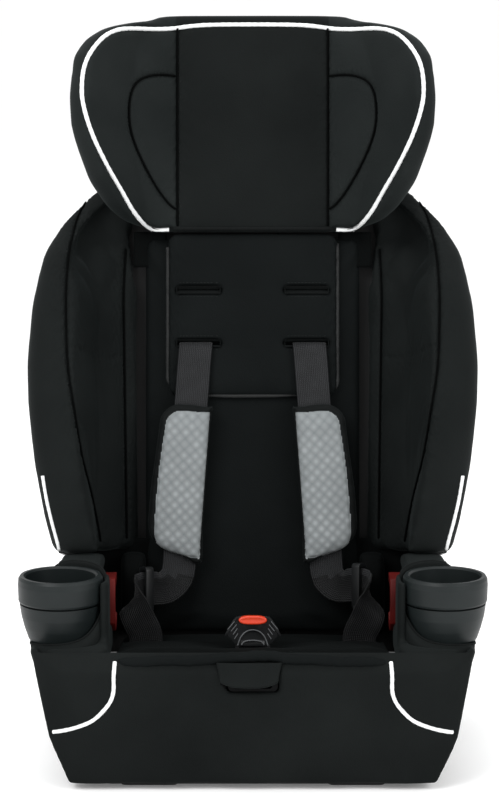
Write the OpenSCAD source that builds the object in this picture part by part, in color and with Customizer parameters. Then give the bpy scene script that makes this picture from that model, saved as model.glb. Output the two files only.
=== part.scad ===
// Forward-facing harness car seat with a sliding winged headrest and two cup holders.
// World frame: +X to the seat's left side as seen from the front, +Y to the back, +Z up.
// Most parts are drawn in the seat frame: x across, d towards the back, s up along the back,
// with its origin in the crease between the cushion and the back.

/* [Seat] */
// Lean of the back from the vertical, and slope of the seat pan, in degrees
recline = 10; // [6:1:14]
// Length of the seat pan from the crease to the front crest
pan_length = 258; // [240:1:280]
// Thickness of the seat cushion
cushion_t = 24; // [18:1:26]
// Half width of the seat cushion
cushion_half = 149; // [140:1:150]

/* [Headrest] */
// Travel of the headrest along the back
head_travel = 120; // [100:20:120]
// Distance between two locking notches
notch_pitch = 20; // [20:1:20]

/* [Harness] */
// Width of the harness webbing
web_w = 38; // [36:1:40]
// Thickness of the harness webbing
web_t = 2.2; // [1.6:0.1:2.4]
// Height of the used pair of harness slots along the back
low_slot_s = 336; // [330:1:345]
// Height of the free pair of harness slots along the back
high_slot_s = 397; // [390:1:405]

/* [Cup holders] */
// Bore radius of the cup liner
cup_r = 37.5; // [36:0.5:38]
// Distance of each cup from the middle of the seat
cup_x = 205; // [203:1:207]
// Place of each cup along Y
cup_y = -135; // [-138:1:-132]
// Height of the cup's rim
cup_top = 217; // [215:1:220]

/* [Hidden] */
$fn = 48;
bight_y = 62;
bight_z = 100;
wall = 4;
plate_d = 34;          // front face of the back plate
wing_x0 = 118;         // where each side wing starts
head_x0 = 88;          // where each headrest wing starts
head_plate_d = 8;      // front face of the headrest's plate
slot_x = 62;           // middle of each harness slot
slot_w = 54;
slot_h = 8;
head_low = 464;        // lower edge of the headrest
buckle_d = -165;
buckle_pivot_s = -21;
pad_angle = 4.3;       // the shoulder straps spread towards the hips
pad_top_s = 266;
pad_length = 184;
flap_top = 141;
handle_travel = 6;     // lift that draws the latch out of its notch
adjuster_z = 122;      // middle of the adjuster's mouth
eps = 0.01;

// Widths and depths along the back, as [height s, value]
wing_half = [[-20, 190], [60, 212], [95, 216], [140, 228], [200, 239], [260, 246], [310, 248], [375, 244],
             [437, 233], [477, 211], [512, 179], [530, 150]];
wing_levels = [99, 140, 200, 260, 310, 345, 375, 400, 420, 440, 458, 475, 495, 512, 528];
wing_front = [[-20, 8], [60, 4], [92, 2], [98, -74], [200, -78], [300, -72], [380, -52], [440, -26],
              [490, 4], [530, 22]];
wing_roll = [[95, 38], [400, 38], [450, 24], [490, 10], [530, 5]];
wing_fill = [[95, 1], [395, 1], [455, 0], [530, 0]];
head_half = [[464, 106], [475, 142], [488, 158], [515, 177], [549, 189], [573, 196], [607, 198], [652, 194],
             [673, 182], [688, 165], [697, 143], [703, 117], [712, 96]];
head_front = [[464, -14], [488, -48], [515, -74], [549, -92], [607, -104], [652, -98], [673, -84],
              [688, -62], [703, -22], [712, -14]];

// ---------- helpers ----------

function lerp(a, b, t) = a + (b - a) * t;
function flatten(lists) = [for (list = lists) for (item = list) item];
function reversed(list) = [for (i = [len(list) - 1 : -1 : 0]) list[i]];
function mirrored(points) = [for (p = reversed(points)) [-p[0], p[1]]];
function unit(v) = v / norm(v);

// Corner points of a rectangle with round corners
function rounded(x0, x1, y0, y1, r, steps = 6) = [
    for (corner = [[x1 - r, y1 - r, 0], [x0 + r, y1 - r, 90], [x0 + r, y0 + r, 180], [x1 - r, y0 + r, 270]])
        for (i = [0 : steps])
            [corner[0] + r * cos(corner[2] + 90 * i / steps), corner[1] + r * sin(corner[2] + 90 * i / steps)]
];

// A quarter ellipse that starts level with the back and ends facing forwards
function wing_arc(x0, a, b, front, from, to, steps) = [
    for (i = [0 : steps])
        let (angle = lerp(from, to, i / steps)) [x0 + a * sin(angle), front + b * cos(angle)]
];

module seat_frame() { translate([0, bight_y, bight_z]) rotate([-recline, 0, 0]) children(); }
module both_sides() { children(); mirror([1, 0, 0]) children(); }
module along_y(y0, y1) { translate([0, y1, 0]) rotate([90, 0, 0]) linear_extrude(y1 - y0) children(); }
module along_x(x0, x1) { translate([x0, 0, 0]) rotate([90, 0, 90]) linear_extrude(x1 - x0) children(); }
module along_z(z0, z1) { translate([0, 0, z0]) linear_extrude(z1 - z0) children(); }
module rod_x(x0, x1, y, z, r) { translate([x0, y, z]) rotate([0, 90, 0]) cylinder(r = r, h = x1 - x0); }
module rod_y(y0, y1, x, z, r) { translate([x, y1, z]) rotate([90, 0, 0]) cylinder(r = r, h = y1 - y0); }
module block(x0, x1, y0, y1, z0, z1) { translate([x0, y0, z0]) cube([x1 - x0, y1 - y0, z1 - z0]); }

// Closed solid through rings of 3-D points that all have the same count
module skin(rings) {
    n = len(rings[0]);
    last = len(rings) - 1;
    polyhedron(
        points = flatten(rings),
        faces = concat(
            [[for (j = [0 : n - 1]) j]],
            [for (i = [0 : last - 1]) for (j = [0 : n - 1])
                [i * n + j, (i + 1) * n + j, (i + 1) * n + (j + 1) % n]],
            [for (i = [0 : last - 1]) for (j = [0 : n - 1])
                [i * n + j, (i + 1) * n + (j + 1) % n, i * n + (j + 1) % n]],
            [[for (j = [n - 1 : -1 : 0]) last * n + j]]
        )
    );
}

// Stack of flat outlines, each [height, points], that run clockwise seen from above
module loft(levels) { skin([for (level = levels) [for (p = reversed(level[1])) [p[0], p[1], level[0]]]]); }

// Flat webbing through stations [centre, width direction]
module webbing(stations, width = web_w, thickness = web_t) {
    last = len(stations) - 1;
    skin([for (i = [0 : last])
        let (
            along = unit(stations[min(i + 1, last)][0] - stations[max(i - 1, 0)][0]),
            raw = stations[i][1],
            across = unit(raw - along * (raw * along)),
            normal = cross(along, across),
            centre = stations[i][0],
            w = across * width / 2,
            t = normal * thickness / 2
        )
        [centre - w - t, centre + w - t, centre + w + t, centre - w + t]]);
}

// Helical compression spring that stands along +Z
module coil(r, wire, length, turns) {
    steps = 12;
    skin([for (i = [0 : turns * steps])
        let (angle = 360 * i / steps, z = wire + (length - 2 * wire) * i / (turns * steps))
        [for (k = [0 : 7])
            let (radius = r + wire * cos(45 * k))
            [radius * cos(angle), radius * sin(angle), z - wire * sin(45 * k)]]]);
}

// ---------- base ----------

module base_block(inset, top_drop) {
    bottom_half = 186 - inset;
    top_half = 219 - inset;
    front = -208 + inset;
    intersection() {
        along_y(-230, 200)
            polygon([[-bottom_half, 8], [bottom_half, 8], [top_half, 120], [top_half, 170],
                     [-top_half, 170], [-top_half, 120]]);
        along_x(-230, 230)
            polygon([[front + 12, 8], [front, 60], [front, 108 - top_drop], [front + 10, 118 - top_drop],
                     [97, 67 - top_drop], [165 - inset, 67 - top_drop], [165 - inset, 8]]);
        along_z(0, 200) polygon(rounded(-224, 224, front, 165 - inset, 40 - inset / 2));
    }
}

module base_shell() {
    color("#1b1d1f") difference() {
        union() {
            base_block(0, 0);
            both_sides() block(26.5, 30.5, -200, -178, 108, adjuster_z + 10);
        }
        difference() {
            base_block(wall, wall);
            for (x = [-88, -50, 50, 88]) block(x - 1.5, x + 1.5, -230, 200, 8, 170);
        }
        seat_frame() {
            block(-23, 23, buckle_d - 7, buckle_d + 7, -60, 0);
            both_sides() block(99, 141, -81, -69, -60, 0);
        }
        block(-26.5, 26.5, -215, -170, adjuster_z - 13, 140);
        block(-22, 22, 84, 130, 60, 72);
    }
}

module bottom_panel() {
    color("#151617") difference() {
        along_z(4, 8) polygon(rounded(-182, 182, -192, 161, 34));
        for (x = [-150, 150]) for (y = [-150, 120]) translate([x, y, 0]) cylinder(r = 2.2, h = 20);
        block(-30, 30, 40, 75, 0, 20);
    }
}

module base_screws() {
    color("silver") for (x = [-150, 150]) for (y = [-150, 120]) translate([x, y, 2]) {
        cylinder(r = 4.5, h = 2);
        cylinder(r = 2, h = 6);
    }
}

module rubber_feet() {
    color("#101010") for (x = [-1, 1]) for (y = [-172, 138])
        translate([x * 110, y, 0]) along_z(0, 4) polygon(rounded(-30, 30, -12, 12, 6));
}

// Corner block that carries the cup holder, with the wall behind the cup
module cup_bracket() {
    difference() {
        union() {
            along_z(121, 150) polygon(rounded(153, 219, -194, -62, 14));
            intersection() {
                translate([cup_x, cup_y, 150 - eps]) cylinder(r = 55, h = 66);
                along_z(150 - eps, 214)
                    polygon([[153, -160], [153, -84], [214, -84], [205, -135], [170, -160]]);
            }
        }
        translate([cup_x, cup_y, 131]) cylinder(r = 47, h = 100);
    }
}

module cup_bracket_left() { color("#1b1d1f") mirror([1, 0, 0]) cup_bracket(); }
module cup_bracket_right() { color("#1b1d1f") cup_bracket(); }

// Arm behind the cup bracket and its rear leg
module armrest() {
    difference() {
        union() {
            along_z(190, 214) polygon([[166, -83.7], [166, 30], [208, 30], [216, -83.7]]);
            along_x(178, 206) polygon([[-40, 191], [4, 83.5], [58, 74.2], [58, 192], [0, 213]]);
        }
        seat_frame() block(100, 300, -100, 100, 97, 300);
    }
}

module armrest_left() { color("#1b1d1f") mirror([1, 0, 0]) armrest(); }
module armrest_right() { color("#1b1d1f") armrest(); }

// Cover of the base: front apron and both flanks, up to the arms
module seat_skirt() {
    color("#17191b") difference() {
        intersection() {
            along_y(-230, 158)
                polygon([[-193, 8], [193, 8], [214, 60], [232, 150], [232, 216], [-232, 216], [-232, 150],
                         [-214, 60]]);
            along_x(-240, 240)
                polygon([[-204, 8], [-215, 60], [-215, 130], [-206, 141], [-196, 150], [60, 150], [112, 112],
                         [158, 96], [158, 8]]);
            along_z(0, 230) polygon(rounded(-240, 240, -215, 200, 48));
        }
        intersection() {
            along_y(-260, 200)
                polygon([[-187, 0], [187, 0], [220, 118], [227, 150], [227, 230], [-227, 230], [-227, 150],
                         [-220, 118]]);
            along_x(-240, 240)
                polygon([[-197, 0], [-209.5, 60], [-209.5, 136], [-197.5, 146], [-197.5, 260], [200, 260],
                         [200, 0]]);
            along_z(0, 260) polygon(rounded(-236, 236, -209.5, 240, 41));
        }
        both_sides() translate([cup_x, cup_y, 129]) cylinder(r = 47.2, h = 100);
        block(-28, 28, -220, -200, adjuster_z - 13, adjuster_z + 13);
        block(-300, 300, 130, 200, 68, 100);
        seat_frame() block(-219.6, 219.6, -262, 300, -23, 300);
    }
}

// ---------- back ----------

module harness_slots(d0, d1) {
    both_sides() for (s = [low_slot_s, high_slot_s])
        block(slot_x - slot_w / 2, slot_x + slot_w / 2, d0, d1, s - slot_h / 2, s + slot_h / 2);
}

module back_shell() {
    color("#1b1d1f") seat_frame() difference() {
        union() {
            block(-wing_x0, wing_x0, plate_d, plate_d + wall, -24, 505);
            block(-66, 66, plate_d, plate_d + wall, 500, 640);
            both_sides() {
                block(28, 32, plate_d, 52, -24, 190);
                block(112, 116, plate_d, 52, -24, 500);
                block(35, 39, 24, plate_d + eps, 320, 638);
                block(31, 39, 22.6, 24.6, 320, 638);
                block(58, 62, plate_d, 51, 430, 636);
                block(34, 40, plate_d, 56, 440, 464);
            }
            for (s = [100, 480]) block(-114, 114, plate_d, 46, s - 2, s + 2);
        }
        harness_slots(20, 60);
        for (k = [0 : head_travel / notch_pitch])
            block(-26, 26, 30, 42, 480 + k * notch_pitch, 490 + k * notch_pitch);
        rod_x(-50, 50, 50, 452, 4.1);
        both_sides() for (s = [6, 210, 380]) rod_y(30, 60, 104, s, 2.2);
        block(-22, 22, plate_d + wall, 60, 470, 630);
        block(-20, 20, plate_d + wall, 60, 90, 110);
        block(-130, 130, plate_d + wall, 60, 20, 84);
    }
}

module wing_shell_side() {
    seat_frame() difference() {
        loft([for (s = concat([-20, 20, 60, 92, 98], wing_levels))
            let (half = lookup(s, wing_half), front = lookup(s, wing_front), a = half - wing_x0,
                 b = plate_d + wall - front)
            [s, concat(wing_arc(wing_x0 + 0.4, a, b, front, 0, 90, 10),
                       reversed(wing_arc(wing_x0 + 0.4, a - wall, b - wall, front, 0, 90, 10)))]]);
        block(128, 182, -60, 60, 20, 84);
    }
}

module wing_shell_left() { color("#1b1d1f") mirror([1, 0, 0]) wing_shell_side(); }
module wing_shell_right() { color("#1b1d1f") wing_shell_side(); }

module shell_screws() {
    color("silver") seat_frame() both_sides() for (s = [6, 210, 380]) {
        rod_y(plate_d + 1, plate_d + wall, 104, s, 2);
        rod_y(plate_d + wall, plate_d + wall + 2.4, 104, s, 4.5);
    }
}

module frame_tube() {
    color("silver") seat_frame() difference() {
        union() {
            rod_x(-111, 111, 60, 40, 8);
            both_sides() for (x = [84, 44]) block(x, x + 4, plate_d + wall, 60, 34, 46);
        }
        rod_x(-120, 120, 60, 40, 6.4);
    }
}

module tether_bar() { color("silver") seat_frame() rod_x(-44, 44, 50, 452, 4); }

// One side bolster: foam and cover that wrap the edge of the wing shell
function bolster_outline(s) =
    let (
        half = lookup(s, wing_half),
        front = lookup(s, wing_front),
        roll = lookup(s, wing_roll),
        fill = lookup(s, wing_fill),
        a = half - wing_x0,
        b = plate_d + wall - front,
        thin = wing_arc(wing_x0, a - 16, b - 16, front, 82, 12, 3),
        full = [[half - 48, front - roll], [178, lerp(front, 0, 0.35)], [142, -3], [127, 6]],
        inner = [for (i = [0 : 3]) lerp(thin[i], full[i], fill)]
    )
    concat(
        wing_arc(wing_x0, a + 6, b + 6, front, 35, 90, 6),
        [[half + 3, front - roll * 0.45], [half - 7, front - roll * 0.8], [half - 24, front - roll]],
        inner,
        wing_arc(wing_x0, a - 5, b - 5, front, 10, 90, 8),
        [[half - 5, front - 1.5], [half + 1, front - 1.5]],
        wing_arc(wing_x0, a + 1, b + 1, front, 90, 35, 6)
    );

module wing_bolster_side() {
    seat_frame() loft([for (s = wing_levels) [s, bolster_outline(s)]]);
}

module wing_bolster_left() { color("#17191b") mirror([1, 0, 0]) wing_bolster_side(); }
module wing_bolster_right() { color("#17191b") wing_bolster_side(); }

module hip_bolster_side() {
    seat_frame() intersection() {
        along_z(3, 97) polygon(rounded(122, 150, -46, -0.5, 12));
        along_x(100, 160) polygon([[-30, 3], [-46, 14], [-46, 70], [-34, 97], [0, 97], [0, 3]]);
    }
}

module hip_bolster_left() { color("#141617") mirror([1, 0, 0]) hip_bolster_side(); }
module hip_bolster_right() { color("#141617") hip_bolster_side(); }

module back_pad() {
    color("#141617") seat_frame() difference() {
        along_y(0.5, 22) polygon(rounded(-124, 124, 4, 458, 12));
        harness_slots(-10, 40);
    }
}

module torso_pad() {
    color("#141617") seat_frame() difference() {
        along_y(-14, 0) polygon(rounded(-98, 98, 275, 461, 12));
        harness_slots(-20, 10);
    }
}

module seat_cushion() {
    color("#141617") seat_frame() difference() {
        intersection() {
            along_x(-cushion_half, cushion_half)
                polygon([[-pan_length - 2, -cushion_t], [-pan_length - 9, -12], [-pan_length - 2, -3],
                         [-pan_length + 12, 2], [-pan_length + 34, 0], [-1, 0], [-1, -cushion_t]]);
            along_z(-60, 60) polygon(rounded(-cushion_half, cushion_half, -270, 12, 12));
        }
        block(-23, 23, buckle_d - 8, buckle_d + 8, -60, 10);
        block(-33, 33, buckle_d - 22, buckle_d + 22, -3, 10);
        both_sides() block(99, 141, -82, -68, -60, 10);
        block(-32, 32, -280, -234, -60, -9);
    }
}

// ---------- headrest ----------

head_levels = [464, 475, 488, 502, 515, 532, 549, 573, 607, 630, 652, 673, 688, 697];

module headrest_shell() {
    color("#1b1d1f") seat_frame() {
        difference() {
            loft([for (s = concat(head_levels, [703]))
                let (half = lookup(s, head_half), front = lookup(s, head_front), a = half - head_x0,
                     b = head_plate_d + wall - front,
                     outer = wing_arc(head_x0, a, b, front, 90, 0, 8),
                     inner = wing_arc(head_x0, a - wall, b - wall, front, 0, 90, 8))
                [s, reversed(concat(outer, mirrored(outer), mirrored(inner), inner))]]);
            both_sides() for (s = [540, 620]) rod_y(-20, 40, 24, s, 1.65);
        }
        both_sides() for (s = [540, 620]) difference() {
            rod_y(head_plate_d + wall - eps, 26, 24, s, 6);
            rod_y(0, 40, 24, s, 1.65);
        }
    }
}

function head_cushion_outline(s) =
    let (
        half = lookup(s, head_half),
        front = lookup(s, head_front),
        a = half - head_x0,
        b = head_plate_d + wall - front,
        nose = min(1, a / 60),
        right = concat(
            wing_arc(head_x0, a + 7, b + 7, front, 38, 90, 6),
            [[half + 3, front - 10 * nose], [half - 4 * nose, front - 18 * nose],
             [half - 14 * nose, front - 22 * nose],
             [lerp(head_x0, half, 0.45), lerp(-20, front, 0.5)], [head_x0 - 4, -20]]
        ),
        back = concat(
            wing_arc(head_x0, a - 5, b - 5, front, 0, 90, 8),
            [[half - 5, front - 1.5], [half + 1, front - 1.5]],
            wing_arc(head_x0, a + 1, b + 1, front, 90, 38, 6)
        )
    )
    concat(right, mirrored(right), mirrored(back), back);

module headrest_cushion() {
    color("#141617") seat_frame()
        loft([for (s = concat(head_levels, [703, 712])) [s, head_cushion_outline(s)]]);
}

module headrest_carriage() {
    color("#222426") seat_frame() difference() {
        union() {
            block(-30, 30, 26, 31, 330, 645);
            block(-34, 34, 26, 31, 330, 630);
            block(-12, 12, 14.5, 31, 641, 645);
        }
        block(-25.5, 25.5, 20, 40, 478.5, 500.5);
        block(-6.2, 6.2, 19.4, 25.9, 630, 650);
        block(-11.5, 11.5, 20, 40, 604, 641);
        both_sides() for (s = [540, 620]) rod_y(20, 40, 24, s, 2.2);
        for (s = [360, 400, 440]) block(-18, 18, 20, 40, s, s + 20);
    }
}

module headrest_screws() {
    color("silver") seat_frame() both_sides() for (s = [540, 620]) {
        rod_y(31, 33, 24, s, 4);
        rod_y(14, 31, 24, s, 1.6);
    }
}

module headrest_handle() {
    color("#8c2f22") seat_frame() {
        difference() {
            along_y(14, 30) polygon(rounded(-34, 34, 648, 690, 12));
            along_y(0, 50) polygon(rounded(-25, 25, 657, 681, 9));
        }
        block(-5, 5, 20.5, 24.5, 481, 649);
        block(-8, 8, 17.5, 25.6, 600, 604);
        rod_x(-11, 11, 22.5, 486, 2);
    }
}

module handle_spring() {
    color("silver") seat_frame() translate([0, 22.5, 604.2]) scale([1, 0.6, 1]) coil(8.6, 0.8, 36.6, 7);
}

// Cross bolt that drops into the notches; its slanted slots follow the handle's pin
module headrest_latch() {
    color("silver") seat_frame() difference() {
        union() {
            block(-24, 24, 31, 39, 481, 489);
            both_sides() block(7, 11, 19.4, 34, 481, 498);
        }
        for (t = [0, handle_travel]) rod_x(-15, 15, 22.5 + t, 486 + t, 2.1);
        translate([0, 22.5, 486]) rotate([45, 0, 0]) block(-15, 15, 0, handle_travel * sqrt(2), -2.1, 2.1);
    }
}

// ---------- harness ----------

function pad_point(s, d) = [slot_x + 3 + tan(pad_angle) * (low_slot_s - s), d, s];

// One strap runs from the splitter through the slot, under the shoulder pad, and loosely to its hip slot
module harness_strap_side(hang) {
    flat = [1, 0, 0];
    seat_frame() webbing(concat([
        [[37, 50.6, 206], flat], [[38, 50.6, 240], flat], [[46, 50, 280], flat], [[60, 47, 322], flat],
        [[64, 43, 333], flat], [[64, 39, low_slot_s], flat], [[64, 20, low_slot_s], flat],
        [[65, -8, low_slot_s], flat], [[65, -17, 334], flat], [[65.4, -20, 328], flat],
        [pad_point(318, -21), flat], [pad_point(76, -21), flat]
    ], hang, [[[120, -75, 6], -flat], [[120, -75, -30], -flat]]));
}

module harness_strap_left() {
    color("#3c3d40") mirror([1, 0, 0]) harness_strap_side([
        [[90, -25, 64], [0.94, -0.2, 0.3]], [[100, -36, 57], [0.6, -0.15, 0.75]],
        [[113, -50, 57], [0, 0, 1]], [[127, -60, 56], [0, 0, 1]],
        [[133, -70, 46], [-0.5, -0.35, 0.8]], [[132, -77, 34], [-0.85, -0.2, 0.5]],
        [[127, -77, 22], [-0.98, 0, 0.2]]
    ]);
}

module harness_strap_right() {
    color("#3c3d40") harness_strap_side([
        [[89, -25, 65], [0.94, -0.2, 0.3]], [[99, -36, 59], [0.6, -0.15, 0.75]],
        [[113, -50, 61], [0, 0, 1]], [[127, -60, 60], [0, 0, 1]],
        [[133, -70, 46], [-0.5, -0.35, 0.8]], [[131, -77, 33], [-0.85, -0.2, 0.5]],
        [[127, -77, 21], [-0.98, 0, 0.2]]
    ]);
}

// Buckle tongue: steel blade with a moulded grip, threaded on the loose run of the strap
module tongue(side, s) {
    seat_frame() translate([side * 120, -55, s]) rotate([0, 0, side * 54]) difference() {
        union() {
            along_y(-5, 5) polygon(rounded(-8, 8, -26, 26, 5));
            along_y(-1.2, 1.2) polygon([[-9, -40], [9, -40], [11, -36], [11, -22], [-11, -22], [-11, -36]]);
        }
        along_y(-10, 10) polygon(rounded(-4.5, 4.5, -22.5, 21.6, 1.5));
        along_y(-10, 10) polygon(rounded(-5, 5, -35, -31, 1.5));
    }
}

module tongue_left() { color("#202224") tongue(-1, 56); }
module tongue_right() { color("#202224") tongue(1, 60); }

module splitter_plate() {
    color("silver") seat_frame() difference() {
        along_y(45, 48) polygon([[-62, 232], [-50, 214], [-24, 196], [24, 196], [50, 214], [62, 232],
                                 [50, 238],
                                 [16, 238], [10, 230], [-10, 230], [-16, 238], [-50, 238]]);
        along_y(40, 60) polygon(rounded(-20, 20, 201, 207, 2.5));
        both_sides() along_y(40, 60) polygon(rounded(17, 56, 227, 234, 2.5));
    }
}

// One pull strap from the splitter, under the seat, to the adjuster at the front
module adjuster_strap() {
    flat = [1, 0, 0];
    color("#3c3d40") webbing([
        [[0, 139.5, 292], flat], [[0, 138, 280], flat], [[0, 125, 190], flat], [[0, 113, 110], flat],
        [[0, 107, 66], flat], [[0, 92, 40], flat], [[0, 60, 34], flat], [[0, -120, 64], flat],
        [[0, -166, 102], flat], [[0, -178, adjuster_z - 6], flat], [[0, -187, adjuster_z - 5], flat],
        [[0, -209, adjuster_z - 5], flat]
    ], width = 34);
}

module adjuster_housing() {
    color("#202224") difference() {
        union() {
            along_y(-212, -200) polygon(rounded(-26, 26, adjuster_z - 12, adjuster_z + 11, 5));
            both_sides() block(20, 24, -202, -180, adjuster_z - 11, adjuster_z + 10);
        }
        along_y(-220, -203) polygon(rounded(-20, 20, adjuster_z - 9, adjuster_z + 8, 3));
        block(-19, 19, -204, -190, adjuster_z - 9, adjuster_z + 8);
        rod_x(-30, 30, -190, adjuster_z + 3, 2.5);
    }
}

module adjuster_lever() {
    color("#2a2c2e") translate([0, 0, adjuster_z]) difference() {
        along_x(-18, 18) polygon([[-211, 3], [-209, 6.5], [-196, 7], [-188, 6.5], [-185, 3], [-188, 0],
                                  [-196, 1], [-209, 1.5]]);
        rod_x(-30, 30, -190, 3, 2.55);
        for (x = [-12 : 4 : 12]) block(x - 0.6, x + 0.6, -213, -206, 5.6, 8);
    }
}

module adjuster_pin() { color("silver") rod_x(-23.5, 23.5, -190, adjuster_z + 3, 2.45); }

module adjuster_spring() {
    color("silver") translate([0, -197, adjuster_z - 3.6]) coil(2.6, 0.5, 4.4, 2);
}

// Fabric flap that hangs from the crest over the adjuster
module adjuster_flap() {
    color("#17191b") along_x(-33, 33)
        polygon([[-216, flap_top - 1], [-219, flap_top - 3], [-222.5, flap_top - 12], [-223, flap_top - 28],
                 [-220.5, flap_top - 30], [-218.5, flap_top - 24], [-217.5, flap_top - 12],
                 [-215.6, flap_top - 4]]);
}

module hip_anchors() {
    color("silver") seat_frame() both_sides() difference() {
        block(94, 146, -90, -60, -34, -31.5);
        block(100, 140, -78, -72, -40, -20);
    }
}

module crotch_strap() {
    color("#3c3d40") seat_frame() {
        block(-19, 19, buckle_d - 1.4, buckle_d + 1.4, buckle_pivot_s, 8);
        rod_x(-19, 19, buckle_d, buckle_pivot_s, 3);
    }
}

module crotch_anchor() {
    color("silver") seat_frame() difference() {
        block(-34, 34, buckle_d - 14, buckle_d + 14, -34, -31.5);
        block(-24, 24, buckle_d - 2, buckle_d + 2, -40, -20);
    }
}

module buckle_body() {
    color("#202224") seat_frame() difference() {
        union() {
            along_y(buckle_d - 11, buckle_d + 11)
                polygon([[-17, 2], [17, 2], [27, 13], [28, 19], [20, 31], [15, 33], [-15, 33], [-20, 31],
                         [-28, 19], [-27, 13]]);
            both_sides() for (i = [0 : 3]) translate([19.6 + i * 2.5, buckle_d - 11.8, 28.5 - i * 3.6])
                rotate([0, -30, 0]) block(-1, 1, 0, 10, -5.5, 5.5);
        }
        block(-16.4, 16.4, buckle_d - 8.6, buckle_d + 3.4, 13, 40);
        block(-14, 14, buckle_d + 4.6, buckle_d + 9, 17, 40);
        block(-19.6, 19.6, buckle_d - 2, buckle_d + 2, 0, 8.5);
        along_y(buckle_d - 13, buckle_d - 9.8)
            polygon([for (a = [0 : 15 : 180]) [13 * cos(a), 5 + 16 * sin(a)]]);
    }
}

module buckle_button() {
    color("#e2421c") seat_frame() difference() {
        along_z(19, 39) polygon(rounded(-15.9, 15.9, buckle_d - 8, buckle_d + 3, 4));
        translate([0, buckle_d - 2.6, 17]) cylinder(r = 4.5, h = 14);
    }
}

module buckle_spring() {
    color("silver") seat_frame() translate([0, buckle_d - 2.6, 13.1]) coil(3.2, 0.55, 17.7, 6);
}

// Padded sleeve on the shoulder strap
module shoulder_pad_side() {
    shape = [for (p = flatten([
        [[26, 4], [28, 0]], [for (a = [0 : -15 : -75]) [-12 + 24 * sin(a), -26 + 26 * cos(a)]],
        [[-40, -90], [-40, -138], [-38.5, -148], [-34, -157], [-26, -164], [-14, -170], [4, -176]],
        [[22, -pad_length], [26, -pad_length + 3]]])) p];
    seat_frame() translate([slot_x + 3 + tan(pad_angle) * (low_slot_s - pad_top_s), 0, pad_top_s])
        rotate([0, -pad_angle, 0]) difference() {
            mirror([1, 0, 0]) along_y(-31, -15.5) polygon(shape);
            block(-web_w / 2 - 1.2, web_w / 2 + 1.2, -23, -19, -pad_length - 20, 20);
        }
}

module shoulder_pad_left() { color("#8d9194") mirror([1, 0, 0]) shoulder_pad_side(); }
module shoulder_pad_right() { color("#8d9194") shoulder_pad_side(); }

// ---------- cups and belt guides ----------

module cup_holder() {
    translate([cup_x, cup_y, 0]) rotate_extrude()
        polygon([[0, 131], [12, 131], [22, 134.5], [30, 141.5], [35, 150], [39, 162], [42, 174], [43.8, 187],
                 [cup_r + 2.6, 187], [cup_r + 2.2, 175], [cup_r - 1.3, 164], [cup_r - 6, 152.5], [22, 145],
                 [0, 145]]);
}

module cup_liner() {
    translate([cup_x, cup_y, 0]) rotate_extrude()
        polygon([[0, 146], [21.5, 146], [cup_r - 6.8, 153.5], [cup_r - 2.2, 164.6], [cup_r + 1.5, 176],
                 [cup_r + 2, 189], [cup_r + 6.8, 189], [cup_r + 7.6, 191],
                 [cup_r + 8, 208], [cup_r + 7.4, 214], [cup_r + 5.5, cup_top], [cup_r + 2, cup_top],
                 [cup_r, cup_top - 2], [cup_r, 179], [cup_r - 3.7, 166.5], [cup_r - 8.5, 156], [20, 149],
                 [0, 149]]);
}

module cup_holder_left() { color("#2b2f31") mirror([1, 0, 0]) cup_holder(); }
module cup_holder_right() { color("#2b2f31") cup_holder(); }
module cup_liner_left() { color("#303436") mirror([1, 0, 0]) cup_liner(); }
module cup_liner_right() { color("#303436") cup_liner(); }

// Red hook under the arm that holds the vehicle's lap belt down
module hip_belt_guide() {
    along_x(152, 163) polygon([[-38, 189.5], [-2, 189.5], [-2, 181], [-26, 178], [-33, 168], [-33, 146],
                               [-26, 138], [-14, 138], [-10, 146], [-4, 143], [-10, 130], [-30, 129],
                               [-42, 140], [-43, 172]]);
    along_x(152, 176) polygon([[-38, 189.5], [-2, 189.5], [-2, 185], [-38, 185]]);
}

module hip_belt_guide_left() { color("#a52a20") mirror([1, 0, 0]) hip_belt_guide(); }
module hip_belt_guide_right() { color("#a52a20") hip_belt_guide(); }

// ---------- the assembly ----------

base_shell();
bottom_panel();
rubber_feet();
base_screws();
armrest_left();
armrest_right();
cup_bracket_left();
cup_bracket_right();
back_shell();
wing_shell_left();
wing_shell_right();
shell_screws();
frame_tube();
tether_bar();
seat_cushion();
seat_skirt();
back_pad();
torso_pad();
wing_bolster_left();
wing_bolster_right();
hip_bolster_left();
hip_bolster_right();
headrest_shell();
headrest_cushion();
headrest_carriage();
headrest_screws();
headrest_handle();
handle_spring();
headrest_latch();
harness_strap_left();
harness_strap_right();
tongue_left();
tongue_right();
splitter_plate();
adjuster_strap();
adjuster_housing();
adjuster_lever();
adjuster_pin();
adjuster_spring();
adjuster_flap();
crotch_strap();
crotch_anchor();
buckle_body();
buckle_button();
buckle_spring();
hip_anchors();
shoulder_pad_left();
shoulder_pad_right();
cup_holder_left();
cup_holder_right();
cup_liner_left();
cup_liner_right();
hip_belt_guide_left();
hip_belt_guide_right();
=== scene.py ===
"""Child car seat: soft covers, piping, webbing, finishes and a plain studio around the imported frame.

Measures inside the helpers are millimetres. x is across, d towards the back and s up along the back,
from the crease between cushion and back; seat() turns them into the row frame in metres.
"""

import math

import bmesh
import bpy
import numpy as np
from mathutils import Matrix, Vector
from mathutils.bvhtree import BVHTree


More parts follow.
